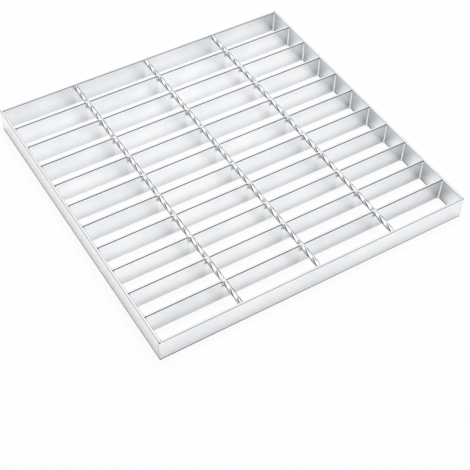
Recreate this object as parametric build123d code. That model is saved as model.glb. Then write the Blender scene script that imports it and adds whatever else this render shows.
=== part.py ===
"""Galvanised drain grate: a square panel of welded steel bar grating.

Flat bearing bars stand on edge between two end bands. Three twisted square rods
lie in slots in the bars' top edges and hold them upright. Every slot is filled
with weld metal round its rod, and a fillet bead ties each bar to each band.

Units are millimetres and degrees. X runs along the bearing bars, Y from the front
edge bar to the back one, and Z up. The origin is the centre of the panel's
underside.
"""
import os
from math import ceil, cos, radians, sin, sqrt

from build123d import *

# Driving dimensions of the panel
PANEL_LENGTH = 400.0        # over the end bands, along the bearing bars
PANEL_WIDTH = 400.0         # over the edge bars, across the bearing bars
BAR_DEPTH = 30.0            # standing height of every flat bar
BAR_THICKNESS = 3.0         # bearing bars and edge bars
BAND_THICKNESS = 3.0        # end bands
BAY_COUNT = 11              # open bays from the front edge bar to the back one
ROLLED_EDGE_CHAMFER = 0.4   # break along the long edges of the rolled flats
PANEL_CORNER_RADIUS = 1.2   # upright outer corners, ground smooth

# Twisted cross rods
ROD_SIDE = 4.5              # square section before it is twisted
ROD_PITCH = 100.0           # from one rod to the next
ROD_TURN_LENGTH = 57.2      # length of rod in one full turn of its twist
ROD_STEPS_PER_TURN = 24     # flat steps that stand for the smooth twist
ROD_DROP = 0.25             # how far the twisted corners stay below the bars' tops
ROD_PLACES = {"left": -1, "middle": 0, "right": 1}      # in steps of the pitch
# Lean of one corner from the vertical at each rod's front end
ROD_LEAN_ANGLES = {"left": 36.5, "middle": 1.6, "right": 11.0}

# Slots in the bearing bars, and the weld metal that fills them
SLOT_SIDE_GAP = 0.3         # between the rod's turning circle and the slot's side
SLOT_FLOOR_GAP = 2.0        # between the rod's turning circle and the slot's floor
PLUG_RECESS = 0.3           # the weld metal lies this far behind the bar's faces
COLLAR_LENGTH = 2.0         # weld collar at a rod's end, along the rod
COLLAR_TIP_WALL = 0.12      # collar outside the rod's turning circle at its tip
COLLAR_BASE_WALL = 0.9      # and where it meets the edge bar

# Fillet beads at the bars' ends
BEAD_LEG = 2.0              # leg of the fillet above its flared foot
BEAD_FOOT_LEG = 3.0         # leg at the foot, where the molten pool ran down
BEAD_HEAD_LEG = 1.6         # leg at the head, where the run was broken off
BEAD_FLARE_HEIGHT = 5.0     # height over which the foot narrows
BEAD_FACETS = 4             # flats across the bead's quarter round
BEAD_TOP_SETBACK = 0.8      # below the bars' top edges
BEAD_FOOT_SETBACK = 1.0     # above the bars' bottom edges

# Sizes that follow from the driving dimensions
BAR_LENGTH = PANEL_LENGTH - 2 * BAND_THICKNESS
BAR_PITCH = (PANEL_WIDTH - BAR_THICKNESS) / BAY_COUNT
FRONT_BAR_Y = (BAR_THICKNESS - PANEL_WIDTH) / 2
ROD_LENGTH = PANEL_WIDTH - 2 * BAR_THICKNESS
ROD_CORNER_RADIUS = ROD_SIDE / sqrt(2)
ROD_HEIGHT = BAR_DEPTH - ROD_DROP - ROD_CORNER_RADIUS
SLOT_WIDTH = 2 * (ROD_CORNER_RADIUS + SLOT_SIDE_GAP)
SLOT_FLOOR = ROD_HEIGHT - ROD_CORNER_RADIUS - SLOT_FLOOR_GAP
ROD_STEPS = ceil(ROD_LENGTH * ROD_STEPS_PER_TURN / ROD_TURN_LENGTH)


def bar_y(index):
    """Middle of one bar's thickness, counted from the front edge bar."""
    return FRONT_BAR_Y + index * BAR_PITCH


def rod_x(name):
    """Middle of one cross rod along the bars."""
    return ROD_PLACES[name] * ROD_PITCH


def flat_section(thickness):
    """Section of a rolled flat, with its underside on the section's own X axis."""
    outline = Pos(0, BAR_DEPTH / 2) * Rectangle(thickness, BAR_DEPTH)
    return chamfer(outline.vertices(), ROLLED_EDGE_CHAMFER)


def flat_bar():
    """A rolled flat standing on edge along X, between the two end bands."""
    return extrude(Plane.YZ * flat_section(BAR_THICKNESS), BAR_LENGTH / 2, both=True)


def end_band(side):
    """The flat across the bars' ends; side is -1 at the left and 1 at the right.

    The band is what the rolled section and the rounded plan have in common.
    """
    rolled = extrude(Plane.XZ * flat_section(BAND_THICKNESS), PANEL_WIDTH / 2, both=True)
    plan = Rectangle(BAND_THICKNESS, PANEL_WIDTH)
    corners = plan.vertices().filter_by(lambda corner: corner.X * side > 0)
    plan = fillet(corners, min(PANEL_CORNER_RADIUS, 0.9 * BAND_THICKNESS))
    return Pos(side * (PANEL_LENGTH - BAND_THICKNESS) / 2, 0) * (rolled & extrude(plan, BAR_DEPTH))


def slot_block(length, top):
    """The punched slot's form as a block centred on Y, from its floor up to top."""
    return Pos(0, 0, SLOT_FLOOR) * Box(
        SLOT_WIDTH, length, top - SLOT_FLOOR, align=(Align.CENTER, Align.CENTER, Align.MIN)
    )


def bearing_bar():
    """A flat bar with one slot in its top edge for each cross rod."""
    cutter = slot_block(2 * BAR_THICKNESS, BAR_DEPTH + ROD_CORNER_RADIUS)
    return flat_bar() - [Pos(rod_x(name), 0) * cutter for name in ROD_PLACES]


def rod_ring(name, step):
    """The four corners of a rod's square section at one step along its twist.

    As the step goes up, the upper corner turns towards +X.
    """
    reach = ROD_LENGTH * step / ROD_STEPS
    turned = ROD_LEAN_ANGLES[name] + 360 * reach / ROD_TURN_LENGTH
    leans = [radians(turned + quarter) for quarter in (0, 90, 180, 270)]
    return [
        Vector(
            rod_x(name) + ROD_CORNER_RADIUS * sin(lean),
            reach - ROD_LENGTH / 2,
            ROD_HEIGHT + ROD_CORNER_RADIUS * cos(lean),
        )
        for lean in leans
    ]


def flat_face(*corners):
    """A flat face with these corners."""
    return Face(Wire.make_polygon(corners, close=True))


def cross_rod(name):
    """A square rod twisted evenly from the front edge bar to the back one.

    Between two rings each side is two flat triangles, folded along the diagonal
    that keeps the side slightly hollow, so nothing stands out of the true twist.
    """
    rings = [rod_ring(name, step) for step in range(ROD_STEPS + 1)]
    faces = [flat_face(*rings[0]), flat_face(*rings[-1])]
    for near, far in zip(rings, rings[1:]):
        for side in range(4):
            following = (side + 1) % 4
            faces.append(flat_face(near[side], near[following], far[following]))
            faces.append(flat_face(near[side], far[following], far[side]))
    return Solid(Shell(faces))


def end_collar(side):
    """Weld collar where a rod meets an edge bar; side is -1 in front and 1 behind."""
    tip_radius = ROD_CORNER_RADIUS + COLLAR_TIP_WALL
    base_radius = ROD_CORNER_RADIUS + COLLAR_BASE_WALL
    wall = Plane(origin=(0, side * ROD_LENGTH / 2, ROD_HEIGHT), z_dir=(0, -side, 0))
    cone = wall * Cone(
        base_radius, tip_radius, COLLAR_LENGTH, align=(Align.CENTER, Align.CENTER, Align.MIN)
    )
    below_top = Pos(0, 0, BAR_DEPTH) * Box(
        4 * base_radius, 2 * PANEL_WIDTH, BAR_DEPTH, align=(Align.CENTER, Align.CENTER, Align.MAX)
    )
    return cone & below_top


def rod_welds(name, rod):
    """The weld metal along one rod: a plug in each slot, a collar at each end."""
    plug = slot_block(BAR_THICKNESS - 2 * PLUG_RECESS, BAR_DEPTH)
    plugs = [Pos(0, bar_y(index)) * plug for index in range(1, BAY_COUNT)]
    blanks = [end_collar(-1), *plugs, end_collar(1)]
    return [(Pos(rod_x(name), 0) * blank - rod).solid() for blank in blanks]


def bead_section(leg, height):
    """Section of a bead at one height: the corner, and a quarter round in flats."""
    angles = [radians(90 * facet / BEAD_FACETS) for facet in range(BEAD_FACETS + 1)]
    rim = [(leg * cos(angle), leg * sin(angle), height) for angle in angles]
    return flat_face((0, 0, height), *rim)


def end_bead():
    """A fillet bead standing in the corner between +X and +Y, on the Z axis."""
    foot = BEAD_FOOT_SETBACK
    levels = [
        bead_section(BEAD_FOOT_LEG, foot),
        bead_section(BEAD_LEG, foot + BEAD_FLARE_HEIGHT),
        bead_section(BEAD_HEAD_LEG, BAR_DEPTH - BEAD_TOP_SETBACK),
    ]
    return loft(levels, ruled=True)


def end_welds(side):
    """The beads of all bars on one end band; side is -1 at the left, 1 at the right.

    Each bead lies in front of its bar, apart from the front edge bar's, which lies
    behind it, inside the panel.
    """
    bead = end_bead()
    corner_x = side * BAR_LENGTH / 2
    beads = []
    for index in range(BAY_COUNT + 1):
        facing = 1 if index == 0 else -1
        if facing == 1:
            turn = 0 if side == -1 else 90
        else:
            turn = 270 if side == -1 else 180
        corner_y = bar_y(index) + facing * BAR_THICKNESS / 2
        beads.append((Pos(corner_x, corner_y) * Rot(0, 0, turn) * bead).solid())
    return beads


def build_pieces():
    """Every piece of the panel in its place, under its own name."""
    pieces = {
        "front_edge_bar": Pos(0, bar_y(0)) * flat_bar(),
        "back_edge_bar": Pos(0, bar_y(BAY_COUNT)) * flat_bar(),
        "left_end_band": end_band(-1),
        "right_end_band": end_band(1),
        "left_end_welds": Compound(children=end_welds(-1)),
        "right_end_welds": Compound(children=end_welds(1)),
    }
    slotted = bearing_bar()
    for index in range(1, BAY_COUNT):
        pieces[f"bearing_bar_{index:02d}"] = Pos(0, bar_y(index)) * slotted
    for name in ROD_PLACES:
        rod = cross_rod(name)
        pieces[f"cross_rod_{name}"] = rod
        pieces[f"rod_welds_{name}"] = Compound(children=rod_welds(name, rod))
    return pieces


os.makedirs("parts", exist_ok=True)
for piece_name, piece in build_pieces().items():
    export_step(piece, f"parts/{piece_name}.step")
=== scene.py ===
"""Looks of a galvanised drain grate: a welded bar panel with twisted cross rods.

Lengths are in metres, in the panel's own frame. X runs along the bearing bars, Y from
the front edge bar to the back one, and Z up from the surface that the panel lies on.
"""

import logging
import math
from dataclasses import dataclass
from enum import Enum
from typing import Any, Union

import bpy
import numpy as np
from mathutils import Matrix, Vector


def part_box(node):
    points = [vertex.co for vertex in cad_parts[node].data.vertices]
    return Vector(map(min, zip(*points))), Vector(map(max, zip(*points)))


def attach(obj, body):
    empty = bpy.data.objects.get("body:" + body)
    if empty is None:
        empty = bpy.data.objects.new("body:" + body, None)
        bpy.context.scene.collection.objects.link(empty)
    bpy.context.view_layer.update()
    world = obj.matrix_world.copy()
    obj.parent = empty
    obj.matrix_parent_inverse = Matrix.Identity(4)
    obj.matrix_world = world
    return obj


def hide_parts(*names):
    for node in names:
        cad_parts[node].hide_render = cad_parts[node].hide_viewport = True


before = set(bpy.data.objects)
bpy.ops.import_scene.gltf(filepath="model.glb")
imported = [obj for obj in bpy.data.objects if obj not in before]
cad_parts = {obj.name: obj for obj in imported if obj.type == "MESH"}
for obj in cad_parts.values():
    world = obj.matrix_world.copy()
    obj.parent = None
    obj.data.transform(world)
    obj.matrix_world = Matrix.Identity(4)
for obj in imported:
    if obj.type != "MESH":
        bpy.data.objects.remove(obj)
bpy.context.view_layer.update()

log = logging.getLogger("drain_grate")

MM = 0.001
BODY = "root"
PHOTO_SIDE = 470.0
ROD_RADIUS = 2.85 * MM      # over the twisted corners

Colour = tuple[float, float, float]
Place = tuple[float, float, float]
Span = tuple[float, float]      # where a smooth step starts and where it ends
Number = Union[float, "Sock"]
Surface = tuple[np.ndarray, np.ndarray]
Marked = tuple[Surface, np.ndarray]

WHITE: Colour = (1.0, 1.0, 1.0)


class End(Enum):
    """The two ends of the bearing bars."""

    LEFT = -1
    RIGHT = 1


class RodPlace(Enum):
    """The three cross rods, by place, in steps of their pitch."""

    LEFT = -1
    MIDDLE = 0
    RIGHT = 1

    @property
    def word(self) -> str:
        """The place as it stands in node names."""
        return self.name.lower()


class Mark(Enum):
    """Distances that a mesh carries for its finish, as named attributes."""

    ARRIS = "from_arris"
    TOE = "from_toe"
    SEAM = "from_seam"


class Sock:
    """A shader value: an output socket whose arithmetic adds Math nodes."""

    def __init__(self, shader: "Shader", socket: bpy.types.NodeSocket | None) -> None:
        """Wraps one output socket of a shader, or none where the node has no output."""
        self.shader = shader
        self.socket = socket

    def output(self, name: str) -> "Sock":
        """Another output of the same node."""
        return Sock(self.shader, self.socket.node.outputs[name])

    def _math(self, operation: str, *values: Number) -> "Sock":
        """Adds one Math node.

        Args:
            operation: The Math node's operation.
            *values: Its inputs, in order.

        Returns:
            The node's result.
        """
        return self.shader.node(
            "ShaderNodeMath", {"operation": operation}, dict(enumerate(values))
        )

    def __add__(self, other: Number) -> "Sock":
        """self + other."""
        return self._math("ADD", self, other)

    def __radd__(self, other: Number) -> "Sock":
        """other + self."""
        return self._math("ADD", other, self)

    def __sub__(self, other: Number) -> "Sock":
        """self - other."""
        return self._math("SUBTRACT", self, other)

    def __rsub__(self, other: Number) -> "Sock":
        """other - self."""
        return self._math("SUBTRACT", other, self)

    def __mul__(self, other: Number) -> "Sock":
        """self * other."""
        return self._math("MULTIPLY", self, other)

    def __rmul__(self, other: Number) -> "Sock":
        """other * self."""
        return self._math("MULTIPLY", other, self)

    def __truediv__(self, other: Number) -> "Sock":
        """self / other."""
        return self._math("DIVIDE", self, other)

    def least(self, other: Number) -> "Sock":
        """The smaller of two values."""
        return self._math("MINIMUM", self, other)

    def most(self, other: Number) -> "Sock":
        """The larger of two values."""
        return self._math("MAXIMUM", self, other)

    def size(self) -> "Sock":
        """The value without its sign."""
        return self._math("ABSOLUTE", self)

    def whole(self) -> "Sock":
        """The nearest whole number."""
        return self._math("ROUND", self)

    def rise(self, low: float, high: float) -> "Sock":
        """A smooth step from 0 at low to 1 at high.

        Args:
            low: Where the step starts.
            high: Where the step ends.

        Returns:
            The step's value, between 0 and 1.
        """
        return self.shader.node(
            "ShaderNodeMapRange",
            {"interpolation_type": "SMOOTHSTEP"},
            {"Value": self, "From Min": low, "From Max": high},
        )

    def fall(self, low: float, high: float) -> "Sock":
        """A smooth step from 1 at low to 0 at high."""
        return 1.0 - self.rise(low, high)


class Shader:
    """A node tree that is written as expressions."""

    def __init__(self, tree: bpy.types.NodeTree) -> None:
        """Starts from an empty tree."""
        tree.nodes.clear()
        self.tree = tree

    @classmethod
    def of_material(cls, name: str) -> tuple["Shader", bpy.types.Material]:
        """Makes a material with an empty tree.

        Args:
            name: The material's name.

        Returns:
            The shader, and the material that it belongs to.
        """
        material = bpy.data.materials.new(name)
        material.use_nodes = True
        return cls(material.node_tree), material

    def node(
        self,
        kind: str,
        settings: dict[str, Any] | None = None,
        values: dict[str | int, Any] | None = None,
    ) -> Sock:
        """Adds any node: its settings come first, then its sockets.

        Args:
            kind: The node's type.
            settings: Properties of the node.
            values: Values or links of its input sockets, by name or by number.

        Returns:
            The node's first output that is in use, if it has one.
        """
        made = self.tree.nodes.new(kind)
        for key, value in (settings or {}).items():
            setattr(made, key, value)
        for key, value in (values or {}).items():
            if isinstance(value, Sock):
                self.tree.links.new(value.socket, made.inputs[key])
            else:
                made.inputs[key].default_value = value
        shown = [socket for socket in made.outputs if socket.enabled]
        return Sock(self, shown[0] if shown else None)

    def blend(self, share: Number, first: Any, second: Any) -> Sock:
        """Mixes two colours: first where share is 0, second where it is 1."""
        settings = {"data_type": "RGBA", "clamp_factor": True}
        return self.node("ShaderNodeMix", settings, {0: share, 6: first, 7: second})

    def place(self) -> tuple[Sock, Sock, Sock, Sock]:
        """The surface point in the panel's frame.

        Returns:
            The whole vector, then x, y and z, in metres.
        """
        point = self.node("ShaderNodeTexCoord").output("Object")
        parts = self.node("ShaderNodeSeparateXYZ", values={0: point})
        return point, parts.output("X"), parts.output("Y"), parts.output("Z")

    def mark(self, mark: Mark) -> Sock:
        """A distance that the mesh carries, in metres."""
        return self.node("ShaderNodeAttribute", {"attribute_name": mark.value}).output("Fac")

    def noise(self, point: Sock, size: float, detail: float = 2.0) -> Sock:
        """Soft noise between 0 and 1.

        Args:
            point: Where the noise is read.
            size: Rough length of one blotch.
            detail: How many finer octaves it holds.

        Returns:
            The noise value.
        """
        return self.node(
            "ShaderNodeTexNoise",
            {"noise_dimensions": "3D"},
            {"Vector": point, "Scale": 1.0 / size, "Detail": detail},
        )


def rgba(colour: Colour) -> tuple[float, float, float, float]:
    """A colour with full alpha."""
    return (*colour, 1.0)


@dataclass(frozen=True)
class PanelSizes:
    """Sizes of the panel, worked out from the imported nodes."""

    half_length: float      # middle of the panel to the outside of an end band
    half_width: float       # middle of the panel to the outside of an edge bar
    depth: float            # standing height of the flats
    bar_thickness: float
    band_thickness: float
    bay_count: int
    bar_pitch: float
    rod_pitch: float
    rod_height: float       # middle of the rods above the ground
    slot_half: float        # half the width of a slot
    slot_floor: float       # floor of a slot above the ground

    @classmethod
    def from_frame(cls) -> "PanelSizes":
        """Reads the sizes from the nodes' boxes.

        Returns:
            The sizes, in metres.
        """
        front_low, front_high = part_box("front_edge_bar")
        back_low, back_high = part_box("back_edge_bar")
        band_low, band_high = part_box("right_end_band")
        rod_low, rod_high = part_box("cross_rod_right")
        weld_low, weld_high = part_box("rod_welds_right")
        bays = 1 + sum(name.startswith("bearing_bar_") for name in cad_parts)
        return cls(
            half_length=band_high.x,
            half_width=back_high.y,
            depth=front_high.z,
            bar_thickness=front_high.y - front_low.y,
            band_thickness=band_high.x - band_low.x,
            bay_count=bays,
            bar_pitch=(back_low.y - front_low.y) / bays,
            rod_pitch=(rod_low.x + rod_high.x) / 2,
            rod_height=(rod_low.z + rod_high.z) / 2,
            slot_half=(weld_high.x - weld_low.x) / 2,
            slot_floor=weld_low.z,
        )

    def bar_y(self, index: int) -> float:
        """Middle of one bar's thickness, counted from the front edge bar."""
        return -self.half_width + self.bar_thickness / 2 + index * self.bar_pitch

    def from_rod(self, x: Sock) -> Sock:
        """Signed distance from the nearest rod's middle, for the shaders."""
        return x - (x / self.rod_pitch).whole() * self.rod_pitch

    def behind_bar(self, y: Sock) -> Sock:
        """Signed distance behind the nearest bar's front face, for the shaders."""
        bays = (y + self.half_width) / self.bar_pitch
        return (bays - bays.whole()) * self.bar_pitch

    def from_front_arris(self, y: Sock, z: Sock) -> Sock:
        """Distance from the nearest bar's upper front arris, over its two faces."""
        return self.behind_bar(y).most(0.0) + (self.depth - z)


@dataclass(frozen=True)
class ZincFinish:
    """A hot-dip zinc coat: pale metal with soft clouds, faint crystals and fine grain."""

    name: str
    pale: Colour = (0.955, 0.965, 0.975)
    dull: Colour = (0.875, 0.895, 0.92)
    # The colour of the painted shade on arrises, feet, corners and welds.
    dark: Colour = (0.05, 0.052, 0.056)
    roughness_low: float = 0.28
    roughness_high: float = 0.42
    cloud_size: float = 60 * MM
    cloud_share: float = 0.6        # of the clouds in the wear
    cloud_edges: Span = (0.32, 0.68)
    crystal_size: float = 6 * MM
    crystal_share: float = 0.10
    grain_size: float = 1.2 * MM
    grain_share: float = 0.2
    bump_height: float = 0.05 * MM
    bump_strength: float = 0.2

    def shade(self, shader: Shader, panel: PanelSizes) -> Number:
        """Share of the dark colour, for painted shade; none here."""
        return 0.0

    def material(self, panel: PanelSizes) -> bpy.types.Material:
        """Makes the material.

        Large noise gives the clouds, cells give the zinc crystals' own shades, and fine
        noise gives the grain. Together they are the wear, which dulls and roughens the
        coat. The grain and a coarser noise make the bump.

        Args:
            panel: The sizes that the painted shade follows.

        Returns:
            The material.
        """
        shader, material = Shader.of_material(self.name)
        point, *_ = shader.place()
        clouds = shader.noise(point, self.cloud_size, detail=3.0).rise(*self.cloud_edges)
        cells = shader.node(
            "ShaderNodeTexVoronoi",
            {"feature": "F1"},
            {"Vector": point, "Scale": 1.0 / self.crystal_size},
        )
        crystal = shader.node("ShaderNodeSeparateColor", values={0: cells.output("Color")})
        grain = shader.noise(point, self.grain_size, detail=4.0)
        wear = clouds * self.cloud_share + crystal * self.crystal_share
        wear = wear + grain * self.grain_share
        coat = shader.blend(wear, rgba(self.pale), rgba(self.dull))
        # Painted shade: the coat turns towards the dark colour by the finish's share.
        colour = shader.blend(self.shade(shader, panel), coat, rgba(self.dark))
        spread = self.roughness_high - self.roughness_low
        height = grain * 0.5 + shader.noise(point, self.crystal_size) * 0.5
        bump = {"Height": height, "Strength": self.bump_strength, "Distance": self.bump_height}
        normal = shader.node("ShaderNodeBump", values=bump)
        surface = shader.node(
            "ShaderNodeBsdfPrincipled",
            values={
                "Base Color": colour,
                "Metallic": 1.0,
                "Roughness": wear * spread + self.roughness_low,
                "Normal": normal,
            },
        )
        shader.node("ShaderNodeOutputMaterial", values={"Surface": surface})
        return material


@dataclass(frozen=True)
class BarZinc(ZincFinish):
    """Zinc on a flat along X, with painted shade on its arrises and beside its welds."""

    # The lines on the arrises and round the slots are painted shade, and the one along the foot
    # a painted contact shadow.
    top_share: float = 1.0
    foot_share: float = 0.03            # at the left end
    foot_share_right: float = 0.0       # and at the right end
    line_reach: float = 0.55 * MM       # from the arris, over each of its two faces
    line_fade: float = 0.35 * MM
    foot_reach: float = 1.2 * MM        # of the line along the foot
    back_slope: float = 4.0             # keeps the back arris's line off the top
    slot_share: float = 0.35            # along a slot's left side and floor
    slot_end: Span = (-1 * MM, 1 * MM)  # where that line ends, about the rod's middle
    end_slope: float = 0.33             # how far the end's painted shade leans back with height
    corner_shade_share: float = 0.10           # painted shade at the right end, towards the weld's foot
    corner_shade_edges: Span = (2 * MM, 30 * MM)
    end_shade_share: float = 0.08           # painted shade, further along from the right end
    end_shade_length: float = 110 * MM
    weld_reach: float = 4 * MM          # of a rod's weld, which keeps the painted shade off
    rod_share: float = 0.08             # painted shade low down, left of each rod's weld
    rod_length: float = 36 * MM
    rod_heights: Span = (4 * MM, 20 * MM)
    near_share: float = 0.05            # painted shade close beside the weld, at any height
    near_length: float = 15 * MM
    foot_shade_share: float = 0.11             # painted shade all along the foot
    foot_shade_height: float = 16 * MM
    clear_heights: Span = (-1 * MM, 4 * MM)     # where the painted shade fades in above the foot
    face_edges: Span = (1 * MM, 2 * MM)     # how far behind the front face they end

    def shade(self, shader: Shader, panel: PanelSizes) -> Number:
        """Share of the dark colour: painted shade on the arrises, round the slots and at the
        end.

        The distance from a front arris is the depth below the top, or the height above
        the ground, plus the distance behind the front face, because on each face one of
        the two is nothing. The back arris has its line on the upright face alone. The
        painted shade at the end follows the distance from the right end plus end_slope
        times the height. More lies to the left of the rods' welds, more so low down, and
        along the whole face low down. All this shade lies on the front face, where the
        beads are, and fades out at its foot.

        Args:
            shader: The tree that the nodes go into.
            panel: The sizes that place the arrises, slots and ends.

        Returns:
            The share, from 0 on the open faces to top_share on the arris.
        """
        _, x, y, z = shader.place()
        reach, end = self.line_reach, self.line_reach + self.line_fade
        behind = panel.behind_bar(y)
        front = behind.most(0.0)
        back = (panel.bar_thickness - behind).size() * self.back_slope
        # Painted shade: dark lines along the arrises, the foot and the slots.
        top = panel.from_front_arris(y, z).least(back + (panel.depth - z))
        top = top.fall(reach, end)
        foot = (front.least(back) + z).fall(self.foot_reach, self.foot_reach + self.line_fade)
        across = panel.from_rod(x)
        side = across.size() - panel.slot_half
        slot = side.most(panel.slot_floor - z).size().fall(reach / 2, end)
        slot = slot * across.fall(*self.slot_end)
        # Painted shade towards the right end, left of the rods' welds, and low on the face.
        inside = panel.half_length - panel.band_thickness
        corner = inside - x + z * self.end_slope
        corner_shade = corner.fall(*self.corner_shade_edges) * self.corner_shade_share
        end_shade = corner.fall(0.0, self.end_shade_length) * self.end_shade_share
        beside = (across * -1.0).most(0.0)
        low = beside.fall(self.weld_reach, self.rod_length) * z.fall(*self.rod_heights)
        near = beside.fall(self.weld_reach, self.near_length)
        weld = low * self.rod_share + near * self.near_share
        weld = weld * beside.rise(0.0, self.weld_reach)
        foot_shade = z.fall(0.0, self.foot_shade_height) * self.foot_shade_share
        along = (x / panel.half_length) * 0.5 + 0.5
        foot_share = along * (self.foot_share_right - self.foot_share) + self.foot_share
        line = (top * self.top_share).most(foot * foot_share)
        painted_shades = (corner_shade + end_shade + weld + foot_shade) * front.fall(*self.face_edges)
        painted_shades = painted_shades * z.rise(*self.clear_heights)
        return line.most(slot * self.slot_share).most(painted_shades)


@dataclass(frozen=True)
class BandZinc(ZincFinish):
    """Zinc on an end band, with painted shade on its long arrises and beside the welds."""

    end: End = End.LEFT
    # The lines on the arrises and corners, and the stripes beside the upright corners, are
    # painted shade; the one along the foot is a painted contact shadow.
    outer_share: float = 0.7
    outer_reach: float = 0.42 * MM
    inner_share: float = 0.55
    inner_reach: float = 0.42 * MM
    foot_share: float = 0.85
    corner_share: float = 0.95          # where the arrises meet at the panel's corners
    corner_edges: Span = (1.6 * MM, 2.6 * MM)
    upright_share: float = 0.22         # on the outer face, along an upright corner
    upright_place: float = 2.4 * MM
    upright_edges: Span = (0.6 * MM, 1.5 * MM)
    upright_depth: Span = (0.6 * MM, 1.6 * MM)      # where it ends inwards
    line_fade: float = 0.3 * MM
    foot_reach: float = 1.8 * MM
    corner_shade_share: float = 0.3            # painted shade on the inner face, in front of each bar
    corner_shade_length: float = 23 * MM
    corner_shade_depth: Span = (0.1 * MM, 0.5 * MM)        # where it ends in from the inner face
    foot_shade_share: float = 0.12             # painted shade all along the foot, inside and outside
    foot_shade_height: float = 14 * MM

    def shade(self, shader: Shader, panel: PanelSizes) -> Number:
        """Share of the dark colour: painted shade on the arrises, at the corners and by the
        welds.

        An arris's distance is worked out as on the bars. A stripe of painted shade runs
        down the outer face beside each upright corner. Painted shade lies in front of each
        bar, on the inner face, and fades with the distance from the bar.

        Args:
            shader: The tree that the nodes go into.
            panel: The sizes that place the arrises and the welds.

        Returns:
            The share, from 0 on the open faces to corner_share at the corners.
        """
        _, x, y, z = shader.place()
        outer = panel.half_length - x * float(self.end.value)
        inner = panel.band_thickness - outer
        below = panel.depth - z
        outer_line = (outer + below).fall(self.outer_reach, self.outer_reach + self.line_fade)
        inner_line = (inner + below).fall(self.inner_reach, self.inner_reach + self.line_fade)
        line = (outer_line * self.outer_share).most(inner_line * self.inner_share)
        foot = (outer.least(inner) + z).fall(self.foot_reach, self.foot_reach + self.line_fade)
        round_corner = panel.half_width - y.size() + outer
        corner = (round_corner + below).fall(*self.corner_edges)
        upright = (round_corner - self.upright_place).size().fall(*self.upright_edges)
        upright = upright * outer.fall(*self.upright_depth) * self.upright_share
        # Painted shade on the inner face in front of each bar, and low down all round.
        bays = (y + panel.half_width) / panel.bar_pitch
        ahead = ((bays + 0.5).whole() - bays) * panel.bar_pitch
        corner_shade = ahead.fall(0.0, self.corner_shade_length) * inner.fall(*self.corner_shade_depth)
        foot_shade = z.fall(0.0, self.foot_shade_height) * self.foot_shade_share
        marks = line.most(foot * self.foot_share).most(corner * self.corner_share)
        marks = marks.most(upright)
        return marks.most(corner_shade * self.corner_shade_share + foot_shade)


@dataclass(frozen=True)
class RodZinc(ZincFinish):
    """Zinc on a twisted rod: painted shade on its four arrises and flanks, none on the lit top.
    """

    arris_edges: Span = (0.48 * MM, 0.6 * MM)
    arris_spread: float = 1.0       # how much wider the lines are on the left flank
    lit_top_edges: Span = (0.10, 0.24)       # where the lines fade in, left of the middle
    lit_top_lean: float = 0.2        # how much further the lit top reaches to the right
    under_share: float = 0.85       # painted shade where the flanks turn under
    under_top: Span = (0.1, 0.28)
    under_foot: Span = (-0.6, -0.4)
    under_sides: Span = (0.3, 0.6)          # where it weakens towards the right
    under_least: float = 0.5        # what is left of it there
    stripe_share: float = 0.95      # painted shade on a narrow stripe high on the right flank
    stripe_start: Span = (0.32, 0.42)
    stripe_end: Span = (0.78, 0.9)

    def shade(self, shader: Shader, panel: PanelSizes) -> Number:
        """Share of the dark colour: painted shade on the arrises and the two flanks.

        The painted arris lines fade in on the flanks, away from the lit top, and widen to
        the left. Painted shade darkens both flanks where the rod turns under, and the
        right one along the edge of the lit top as well. Sides and heights are measured in
        radii from the rod's middle.

        Args:
            shader: The tree that the nodes go into.
            panel: The sizes that place the rods.

        Returns:
            The share, from 0 on top to 1 on the arrises.
        """
        _, x, _, z = shader.place()
        side = panel.from_rod(x) / ROD_RADIUS
        up = (z - panel.rod_height) / ROD_RADIUS
        left = side * -1.0
        spread = left.most(0.0) * self.arris_spread + 1.0
        # Painted shade: dark lines on the arrises, kept off the lit top.
        line = (shader.mark(Mark.ARRIS) / spread).fall(*self.arris_edges)
        away = left.most(side - self.lit_top_lean)
        line = line * away.rise(*self.lit_top_edges)
        # Painted shade under both flanks, and in a stripe high on the right flank.
        under = up.fall(*self.under_top) * up.rise(*self.under_foot) * self.under_share
        under = under * side.fall(*self.under_sides).most(self.under_least)
        stripe = side.rise(*self.stripe_start) * side.fall(*self.stripe_end)
        return line.most(under).most(stripe * self.stripe_share)


@dataclass(frozen=True)
class BeadZinc(ZincFinish):
    """Zinc on an end bead: bright along its crown, with painted shade along its two toes."""

    toe_share: float = 0.75
    toe_edges: Span = (0.22 * MM, 0.52 * MM)

    def shade(self, shader: Shader, panel: PanelSizes) -> Number:
        """Share of the dark colour, painted shade by the distance from the nearer toe."""
        return shader.mark(Mark.TOE).fall(*self.toe_edges) * self.toe_share


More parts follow.
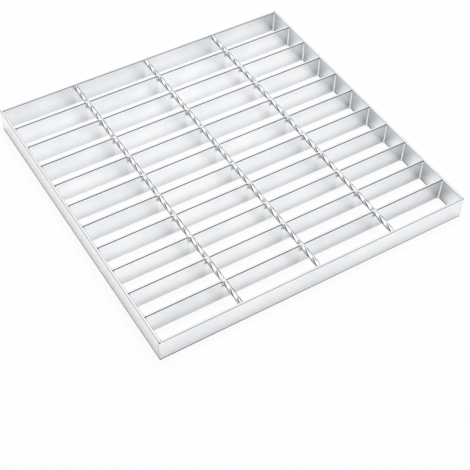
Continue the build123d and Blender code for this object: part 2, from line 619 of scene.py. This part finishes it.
@dataclass(frozen=True)
class SlotZinc(ZincFinish):
    """Zinc on the weld metal in a slot: bright on top, with painted shade in the seam round it.
    """

    # The seam's dark is painted shade in its recess.
    seam_share: float = 0.5
    seam_edges: Span = (0.35 * MM, 0.85 * MM)
    seam_end: Span = (0.0, 2 * MM)      # to the right of the rod's middle
    top_edges: Span = (0.3 * MM, 0.6 * MM)      # below the top, where the seam fades in
    right_shade_share: float = 0.4           # painted shade at the edge of the lit top, over the bars
    right_shade_place: float = 1.25 * MM
    right_shade_edges: Span = (0.22 * MM, 0.5 * MM)
    arris_start: Span = (1.4 * MM, 2.2 * MM)    # to the right of the rod's middle
    arris_edges: Span = (BarZinc.line_reach, BarZinc.line_reach + BarZinc.line_fade)

    def shade(self, shader: Shader, panel: PanelSizes) -> Number:
        """Share of the dark colour: painted shade in the seam, in a line on top, and on the
        arris.

        The seam is open at the left, and holds painted shade there. At the right the weld
        is flush with the bar, and carries on the bar's painted shade along its front arris.

        Args:
            shader: The tree that the nodes go into.
            panel: The sizes that place the rods and the bars' tops.

        Returns:
            The share, from 0 on the open top to 1 on the bar's arris.
        """
        seam = shader.mark(Mark.SEAM).fall(*self.seam_edges)
        _, x, y, z = shader.place()
        across = panel.from_rod(x)
        arris = panel.from_front_arris(y, z).fall(*self.arris_edges)
        arris = arris * across.rise(*self.arris_start)
        below = (panel.depth - z).rise(*self.top_edges)
        seam = seam * below * across.fall(*self.seam_end) * self.seam_share
        right_shade = (across - self.right_shade_place).size().fall(*self.right_shade_edges)
        return seam.most(right_shade * (1.0 - below) * self.right_shade_share).most(arris)


@dataclass(frozen=True)
class Mesher:
    """Joins closed surfaces, given as grids of points, into one finished object."""

    name: str
    smooth_angle: float = math.radians(35)

    @staticmethod
    def tube(points: np.ndarray) -> Surface:
        """A closed tube from a grid of points, rings by places round each ring.

        The faces are quads between neighbouring rings, wrapped round, given as rows of
        four indices. Each end is closed by a fan onto the middle of its ring, whose
        triangles name that middle twice. The middles follow the grid's own vertices.

        Args:
            points: Array of shape (rings, places, 3), each ring turning the same way.

        Returns:
            The vertices, and the faces as rows of four indices.
        """
        rings, places, _ = points.shape
        index = np.arange(rings * places).reshape(rings, places)
        following = np.roll(index, -1, axis=1)
        sides = np.stack([index[:-1], following[:-1], following[1:], index[1:]], axis=-1)
        middles = points[[0, -1]].mean(axis=1)
        first = np.full(places, rings * places)
        start_fan = np.stack([following[0], index[0], first, first], axis=-1)
        end_fan = np.stack([index[-1], following[-1], first + 1, first + 1], axis=-1)
        vertices = np.concatenate([points.reshape(-1, 3), middles])
        return vertices, np.concatenate([sides.reshape(-1, 4), start_fan, end_fan])

    def put(self, parts: list[Marked], mark: Mark) -> bpy.types.Object:
        """Puts the surfaces into one object at the origin.

        Args:
            parts: Each surface, with a distance at each of its grid points.
            mark: The name of that distance, which the finish reads.

        Returns:
            The object, linked into the scene.
        """
        surfaces = [surface for surface, _ in parts]
        starts = np.cumsum([0] + [len(vertices) for vertices, _ in surfaces[:-1]])
        vertices = np.concatenate([vertices for vertices, _ in surfaces])
        faces = np.concatenate([faces + start for (_, faces), start in zip(surfaces, starts)])
        triangles = faces[:, 2] == faces[:, 3]
        mesh = bpy.data.meshes.new(self.name)
        polygons = faces[~triangles].tolist() + faces[triangles][:, :3].tolist()
        mesh.from_pydata(vertices.tolist(), [], polygons)
        mesh.update()
        mesh.shade_smooth()
        mesh.set_sharp_from_angle(angle=self.smooth_angle)
        values = [np.append(marks.ravel(), marks[[0, -1]].mean(axis=1)) for _, marks in parts]
        layer = mesh.attributes.new(mark.value, "FLOAT", "POINT")
        layer.data.foreach_set("value", np.concatenate(values).astype(np.float32))
        piece = bpy.data.objects.new(self.name, mesh)
        bpy.context.scene.collection.objects.link(piece)
        return piece


@dataclass
class SubAssembly:
    """Pieces that are built together and share a finish."""

    panel: PanelSizes

    def seat(
        self, piece: bpy.types.Object, coat: bpy.types.Material, slot: str, node: str
    ) -> None:
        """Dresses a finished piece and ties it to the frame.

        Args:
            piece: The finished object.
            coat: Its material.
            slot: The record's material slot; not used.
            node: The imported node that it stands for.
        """
        piece.data.materials.append(coat)
        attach(piece, BODY)
        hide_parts(node)
        log.info("%s: %d faces", piece.name, len(piece.data.polygons))


@dataclass
class Flats(SubAssembly):
    """The bearing bars, edge bars and end bands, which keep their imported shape."""

    def dress(self) -> None:
        """Gives each flat the zinc coat, whose painted shade follows its own arrises."""
        bearing = BarZinc("zinc on bearing bars").material(self.panel)
        finishes = {
            "front_edge_bar": BarZinc(
                "zinc on front edge bar", top_share=0.6, foot_share=0.95, foot_share_right=0.5,
                foot_reach=1.7 * MM, slot_share=0.0, corner_shade_share=0.0, end_shade_share=0.0,
                rod_share=0.0, near_share=0.0, foot_shade_share=0.0,
            ),
            # A darker copy of the zinc on the back edge bar: painted shade.
            "back_edge_bar": BarZinc(
                "zinc on back edge bar", pale=(0.895, 0.904, 0.914), dull=(0.82, 0.839, 0.862),
                top_share=0.8, slot_share=0.0,
            ),
            # A lighter copy of the zinc on the left end band: painted light.
            "left_end_band": BandZinc(
                "zinc on left end band", end=End.LEFT, pale=(0.985, 0.99, 0.995),
                dull=(0.955, 0.965, 0.98), foot_share=0.95, foot_reach=2.2 * MM,
                foot_shade_share=0.07, foot_shade_height=26 * MM, upright_share=0.3,
                upright_place=2.1 * MM,
            ),
            "right_end_band": BandZinc(
                "zinc on right end band", end=End.RIGHT, outer_share=0.8, inner_share=0.8,
                inner_reach=0.3 * MM, upright_share=0.8, upright_place=0.5 * MM,
            ),
        }
        coats = {name: finish.material(self.panel) for name, finish in finishes.items()}
        for name, node in sorted(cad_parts.items()):
            if name in coats or name.startswith("bearing_bar_"):
                node.data.materials.clear()
                node.data.materials.append(coats.get(name, bearing))
                log.info("%s: zinc coat", name)


@dataclass
class TwistedRods(SubAssembly):
    """Three square rods twisted along their length, flush with the bars' tops."""

    turn_length: float = 57.2 * MM
    half_side: float = 2.5 * MM
    squareness: float = 3.2         # 2 is a circle, and a large number a sharp square
    side_points: int = 12
    step_length: float = 0.8 * MM

    LEANS = {RodPlace.LEFT: 36.5, RodPlace.MIDDLE: 1.6, RodPlace.RIGHT: 11.0}

    def section(self) -> tuple[np.ndarray, np.ndarray, np.ndarray]:
        """The rod's section: a square with full sides and rounded corners.

        At an angle t from the middle of a side, the reach is the half side divided by
        the p-th root of |cos t|^p + |sin t|^p, where p is the squareness. The angles
        crowd towards the corners as the sine of evenly spaced steps.

        Returns:
            The angles from the first corner, the reach at each, and the distance from
            the nearest corner along a straight side.
        """
        steps = np.linspace(-1, 1, self.side_points + 1)[:-1]
        within = math.pi / 4 * np.sin(math.pi / 2 * steps)
        angles = (within + math.pi / 4 + math.pi / 2 * np.arange(4)[:, None]).ravel()
        power = self.squareness
        within = np.tile(within, 4)
        spread = np.abs(np.cos(within)) ** power + np.abs(np.sin(within)) ** power
        from_arris = self.half_side * (1.0 - np.tan(np.abs(within)))
        return angles, self.half_side / spread ** (1 / power), from_arris

    def surface(self, place: RodPlace) -> Marked:
        """The rod as a tube.

        The section is carried along Y and turned evenly: the turn is the lean at the
        front end plus a full circle for each turn_length, from the vertical towards +X.

        Args:
            place: Which rod.

        Returns:
            The surface, and each grid point's distance from its arris.
        """
        low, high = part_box(f"cross_rod_{place.word}")
        angles, radii, from_arris = self.section()
        steps = math.ceil((high.y - low.y) / self.step_length)
        reach = np.linspace(0, high.y - low.y, steps + 1)[:, None]
        turned = math.radians(self.LEANS[place]) + 2 * math.pi * reach / self.turn_length
        around = turned + angles
        x = place.value * self.panel.rod_pitch + radii * np.sin(around)
        z = self.panel.rod_height + radii * np.cos(around)
        y = np.broadcast_to(low.y + reach, x.shape)
        points = np.stack([x, y, z], axis=-1)
        return Mesher.tube(points), np.broadcast_to(from_arris, x.shape)

    def build(self) -> None:
        """Builds and dresses the three rods."""
        # A lighter copy of the zinc on the rods: painted light.
        coat = RodZinc(
            "zinc on rods", pale=(0.985, 0.99, 0.995), dull=(0.955, 0.965, 0.98),
            cloud_size=9 * MM, roughness_low=0.2, roughness_high=0.32,
        ).material(self.panel)
        for place in RodPlace:
            rod = Mesher(f"twisted_rod_{place.word}").put([self.surface(place)], Mark.ARRIS)
            self.seat(rod, coat, "galvanised_rod", f"cross_rod_{place.word}")


@dataclass
class RodWelds(SubAssembly):
    """The weld metal along a rod: one run in each slot, one collar at each end."""

    flare_length: float = 1.5 * MM      # how far the metal runs out along the rod
    flare_rise: float = 0.4 * MM        # above the rod, at the bar's face
    tip_dip: float = 0.2 * MM           # of the tip under the rod's surface
    flare_lean: float = 0.2 * MM        # further out at the left than at the right
    seam_recess: float = 0.3 * MM       # of the metal behind the bar's faces, at the left
    seam_proud: float = 0.04 * MM       # and in front of them, at the right
    slot_bite: float = 0.05 * MM        # of the metal into the slot's sides and floor
    top_drop: float = 0.06 * MM         # of the metal below the bars' tops
    flare_steps: int = 7
    ring_places: int = 48
    slot_squareness: float = 9.0

    def ring(
        self,
        centre: tuple[float | np.ndarray, float],
        y: np.ndarray,
        reach: np.ndarray,
        power: float,
    ) -> np.ndarray:
        """Rings about one line along Y, each a superellipse that is cut off on top.

        At an angle t the reach is divided by the p-th root of |cos t|^p + |sin t|^p.
        Nothing rises above the bars' tops less top_drop.

        Args:
            centre: The line's x and z; x may be an array with shape (rings, 1).
            y: The place of each ring along the line, with shape (rings, 1), or of each
                of its points, with shape (rings, places).
            reach: Half width and half height of each ring, with shape (rings, 2).
            power: The exponent p.

        Returns:
            Array of shape (rings, places, 3).
        """
        across, up = self.around()
        spread = (np.abs(across) ** power + np.abs(up) ** power) ** (1 / power)
        x = centre[0] + reach[:, :1] * across / spread
        z = centre[1] + reach[:, 1:] * up / spread
        z = np.minimum(z, self.panel.depth - self.top_drop)
        return np.stack([x, np.broadcast_to(y, x.shape), z], axis=-1)

    def around(self) -> tuple[np.ndarray, np.ndarray]:
        """Sine and cosine of a ring's angles from the vertical, with shape (1, places)."""
        angle = np.linspace(0, 2 * math.pi, self.ring_places, endpoint=False)[None, :]
        return np.sin(angle), np.cos(angle)

    def flare(self, place: RodPlace, face: float, facing: int) -> tuple[np.ndarray, np.ndarray]:
        """The run-out along the rod from a bar's face, hollowing towards its tip.

        The rise above the rod is flare_rise times the square of what is left of the
        length, and the tip dips just under the rod's surface. The middle of each ring
        moves to the left by flare_lean times the same square.

        Args:
            place: Which rod.
            face: The y of the bar's face.
            facing: -1 for the run-out in front of a bar, 1 for the one behind it.

        Returns:
            The points, in the order of rising y, and each one's distance from the face.
        """
        left = np.linspace(0, 1, self.flare_steps)[::-facing, None]
        out = self.flare_length * (1 - left)
        radius = ROD_RADIUS - self.tip_dip + (self.flare_rise + self.tip_dip) * left ** 2
        middle = place.value * self.panel.rod_pitch - self.flare_lean * left ** 2
        rings = self.ring(
            (middle, self.panel.rod_height),
            face + facing * out,
            radius.repeat(2, axis=1),
            power=2.0,
        )
        return rings, np.broadcast_to(out, rings.shape[:2])

    def run(self, place: RodPlace, index: int) -> Marked:
        """The weld metal where one rod crosses one bar.

        Between the two run-outs the rings widen to the slot's own section. Its faces
        lie behind the bar's at the left, where a seam stays open, and stand slightly
        proud of them at the right, changing over within the middle of the width.

        Args:
            place: Which rod.
            index: Which bar, counted from the front edge bar.

        Returns:
            The surface, and each grid point's distance from the seam.
        """
        half = self.panel.bar_thickness / 2
        x, y = place.value * self.panel.rod_pitch, self.panel.bar_y(index)
        front, front_marks = self.flare(place, y - half, -1)
        back, back_marks = self.flare(place, y + half, 1)
        low, high = self.panel.slot_floor, self.panel.depth
        across, _ = self.around()
        right = np.clip(2 * across, 0, 1)
        seat = half - self.seam_recess * (1 - right) + self.seam_proud * right
        reach = np.array([self.panel.slot_half, (high - low) / 2]) + self.slot_bite
        body = self.ring(
            (x, (low + high) / 2),
            y + seat * np.array([[-1.0], [1.0]]),
            np.tile(reach, (2, 1)),
            power=self.slot_squareness,
        )
        points = np.concatenate([front, body, back])
        marks = np.concatenate([front_marks, np.zeros(body.shape[:2]), back_marks])
        return Mesher.tube(points), marks

    def collar(self, place: RodPlace, index: int, facing: int) -> Marked:
        """The collar where a rod ends on an edge bar.

        Args:
            place: Which rod.
            index: Which bar, counted from the front edge bar.
            facing: 1 where the rod lies behind the bar, -1 where it lies in front.

        Returns:
            The surface, and each grid point's distance from the bar's face.
        """
        wall = self.panel.bar_y(index) + facing * self.panel.bar_thickness / 2
        points, marks = self.flare(place, wall, facing)
        return Mesher.tube(points), marks

    def build(self) -> None:
        """Builds and dresses the weld metal of the three rods."""
        coat = SlotZinc("zinc on rod welds", cloud_size=5 * MM).material(self.panel)
        last = self.panel.bay_count
        for place in RodPlace:
            welds = [self.collar(place, 0, 1)]
            welds += [self.run(place, index) for index in range(1, last)]
            welds += [self.collar(place, last, -1)]
            piece = Mesher(f"rod_seams_{place.word}").put(welds, Mark.SEAM)
            self.seat(piece, coat, "galvanised_weld", f"rod_welds_{place.word}")


@dataclass
class EndBeads(SubAssembly):
    """The fillet beads that tie the bars to the end bands, laid from the top down."""

    leg: float = 1.9 * MM
    foot_leg: float = 3.0 * MM
    head_leg: float = 1.6 * MM
    flare_height: float = 5.0 * MM
    top_setback: float = 0.8 * MM
    foot_setback: float = 0.6 * MM
    ripple_pitch: float = 1.5 * MM
    ripple_depth: float = 0.09 * MM
    ripple_sag: float = 0.9 * MM        # how far a ripple's middle lags behind its toes
    fullness: float = 1.5               # 1 is a flat face, and 2 a full quarter round
    sink: float = 0.1 * MM
    arc_points: int = 15
    step_length: float = 0.25 * MM

    def legs(self, height: np.ndarray) -> np.ndarray:
        """The bead's leg at each height above its foot.

        The foot widens as the square of what is left of the flare's height, and the
        head narrows evenly to its own leg.

        Args:
            height: Heights above the bead's foot.

        Returns:
            The legs.
        """
        flare = np.clip(1 - height / self.flare_height, 0, 1) ** 2
        share = height / height.max()
        return self.leg + (self.foot_leg - self.leg) * flare + (self.head_leg - self.leg) * share

    def bead(self, end: End, index: int) -> Marked:
        """One bead, standing in the corner between a bar and a band.

        At an angle t from the bar, the reach is the leg divided by the p-th root of
        cos t^p + sin t^p, where p is the fullness, plus a ripple: a cosine along the
        height whose phase lags by ripple_sag in the middle of the arc. The ring closes
        through the corner itself, the whole is sunk into both walls, and the rings are
        turned round where they would face inwards.

        Args:
            end: Which end band.
            index: Which bar, counted from the front edge bar. The front edge bar's
                bead lies behind it, and the others lie in front of their bars.

        Returns:
            The surface, and each grid point's distance from the nearer toe.
        """
        panel = self.panel
        facing = 1 if index == 0 else -1
        top, foot = panel.depth - self.top_setback, self.foot_setback
        count = math.ceil((top - foot) / self.step_length)
        height = np.linspace(0, top - foot, count + 1)[:, None]
        angle = np.linspace(0, math.pi / 2, self.arc_points)[None, :]
        lag = self.ripple_sag * np.sin(2 * angle)
        ripple = np.cos(2 * math.pi * (height - lag) / self.ripple_pitch) * np.sin(2 * angle)
        power = self.fullness
        spread = (np.cos(angle) ** power + np.sin(angle) ** power) ** (1 / power)
        reach = self.legs(height) / spread + self.ripple_depth * ripple
        along = np.concatenate([reach * np.cos(angle), np.zeros_like(height)], axis=1)
        out = np.concatenate([reach * np.sin(angle), np.zeros_like(height)], axis=1)
        wall_x = end.value * (panel.half_length - panel.band_thickness + self.sink)
        wall_y = panel.bar_y(index) + facing * (panel.bar_thickness / 2 - self.sink)
        x, y = wall_x - end.value * along, wall_y + facing * out
        z = np.broadcast_to(foot + height, x.shape)
        points, toe = np.stack([x, y, z], axis=-1), np.minimum(along, out)
        if end.value * facing == 1:
            points, toe = points[:, ::-1], toe[:, ::-1]
        return Mesher.tube(points), toe

    def build(self) -> None:
        """Builds and dresses the beads of both ends."""
        coat = BeadZinc("zinc on end beads", cloud_size=5 * MM).material(self.panel)
        for end in End:
            word = end.name.lower()
            beads = [self.bead(end, index) for index in range(self.panel.bay_count + 1)]
            piece = Mesher(f"{word}_end_beads").put(beads, Mark.TOE)
            self.seat(piece, coat, "galvanised_weld", f"{word}_end_welds")


@dataclass(frozen=True)
class Softbox:
    """A soft rectangular light that faces the panel's middle."""

    name: str
    way: Place          # direction from the panel's middle
    distance: float
    width: float
    height: float
    level: float        # brightness of its face, where 1 is white
    mirrored: bool = True       # whether the metal mirrors it

    def hang(self) -> None:
        """Puts the light in place; its power is pi times its area times its level."""
        light = bpy.data.lights.new(self.name, "AREA")
        light.shape = "RECTANGLE"
        light.size, light.size_y = self.width, self.height
        light.energy = math.pi * self.width * self.height * self.level
        lamp = bpy.data.objects.new(self.name, light)
        lamp.location = Vector(self.way).normalized() * self.distance
        lamp.rotation_euler = Vector(self.way).to_track_quat("Z", "Y").to_euler()
        lamp.visible_camera = False
        lamp.visible_glossy = self.mirrored
        bpy.context.scene.collection.objects.link(lamp)


@dataclass
class Studio:
    """The pale floor, the soft light and the camera."""

    panel: PanelSizes
    floor_side: float = 12.0
    floor_drop: float = 0.1 * MM
    floor_colour: Colour = (0.93, 0.93, 0.93)
    camera_white: float = 0.92      # share of plain white in the floor that the camera sees
    metal_white: float = 0.42       # and in the floor that the metal mirrors
    sky_level: float = 0.30
    wall_level: float = 0.80        # of the walls that the metal mirrors below the ceiling
    wall_edges: Span = (0.15, 0.55)     # heights where they turn into it
    lights: tuple[Softbox, ...] = (
        Softbox(
            "key", way=(0.16, 0.12, 0.96), distance=1.6, width=0.8, height=0.8, level=10.0,
            mirrored=False,
        ),
    )
    focal_pixels: float = 1073.6
    camera_place: Place = (-486.8 * MM, -763.3 * MM, 928.0 * MM)
    camera_right: Place = (0.85138, -0.52375, 0.02887)
    camera_forward: Place = (0.36152, 0.54601, -0.75576)
    camera_range: Span = (0.05, 50.0)
    sensor: float = 36.0

    def floor(self) -> None:
        """A plain white floor that keeps the object's shadow.

        Camera rays see mostly plain white, and the rays that metal and glass mirror see
        some of it. Other rays see the paint alone, so the floor adds no light.
        """
        shader, material = Shader.of_material("floor")
        material.cycles.emission_sampling = "NONE"
        rays = shader.node("ShaderNodeLightPath")
        mirrored = rays.output("Is Glossy Ray").most(rays.output("Is Transmission Ray"))
        share = (rays.output("Is Camera Ray") * self.camera_white).most(
            mirrored * self.metal_white
        )
        paint = shader.node("ShaderNodeBsdfDiffuse", values={"Color": rgba(self.floor_colour)})
        white = shader.node(
            "ShaderNodeEmission", values={"Color": rgba(WHITE), "Strength": 1.0}
        )
        mixed = shader.node("ShaderNodeMixShader", values={0: share, 1: paint, 2: white})
        shader.node("ShaderNodeOutputMaterial", values={"Surface": mixed})
        half = self.floor_side / 2
        corners = [(-half, -half), (half, -half), (half, half), (-half, half)]
        mesh = bpy.data.meshes.new("floor")
        mesh.from_pydata([(x, y, -self.floor_drop) for x, y in corners], [], [(0, 1, 2, 3)])
        mesh.materials.append(material)
        plane = bpy.data.objects.new("floor", mesh)
        bpy.context.scene.collection.objects.link(plane)
        log.info("floor")

    def world(self) -> None:
        """An even sky that the camera sees as white.

        The metal mirrors a white ceiling, and greyer walls all round below it.
        """
        world = bpy.data.worlds.new("studio")
        world.use_nodes = True
        world.cycles.sampling_method = "NONE"
        bpy.context.scene.world = world
        shader = Shader(world.node_tree)
        rays = shader.node("ShaderNodeLightPath")
        way = shader.node("ShaderNodeTexCoord").output("Generated")
        height = shader.node("ShaderNodeSeparateXYZ", values={0: way}).output("Z")
        mirrored = height.rise(*self.wall_edges) * (1.0 - self.wall_level) + self.wall_level
        metal = rays.output("Is Glossy Ray").most(rays.output("Is Transmission Ray"))
        lit = metal * (mirrored - self.sky_level) + self.sky_level
        strength = lit.most(rays.output("Is Camera Ray"))
        sky = shader.node(
            "ShaderNodeBackground", values={"Color": rgba(WHITE), "Strength": strength}
        )
        shader.node("ShaderNodeOutputWorld", values={"Surface": sky})

    def camera(self) -> None:
        """The photograph's view, as a place, a direction and a lens."""
        data = bpy.data.cameras.new("camera")
        data.sensor_width = self.sensor
        data.lens = self.focal_pixels / PHOTO_SIDE * self.sensor
        data.clip_start, data.clip_end = self.camera_range
        back = -Vector(self.camera_forward).normalized()
        right = Vector(self.camera_right)
        right = (right - back * right.dot(back)).normalized()
        up = back.cross(right)
        eye = bpy.data.objects.new("camera", data)
        turned = Matrix((right, up, back)).transposed().to_4x4()
        eye.matrix_world = Matrix.Translation(self.camera_place) @ turned
        bpy.context.scene.collection.objects.link(eye)
        bpy.context.scene.camera = eye

    def build(self) -> None:
        """Builds the studio round the panel."""
        bpy.context.scene.view_settings.view_transform = "Standard"
        self.floor()
        self.world()
        for light in self.lights:
            light.hang()
        self.camera()


def main() -> None:
    """Builds the grate's looks and the studio, in order."""
    logging.basicConfig(level=logging.INFO, format="%(name)s: %(message)s")
    panel = PanelSizes.from_frame()
    Flats(panel).dress()
    TwistedRods(panel).build()
    RodWelds(panel).build()
    EndBeads(panel).build()
    Studio(panel).build()


if __name__ == "__main__":
    main()
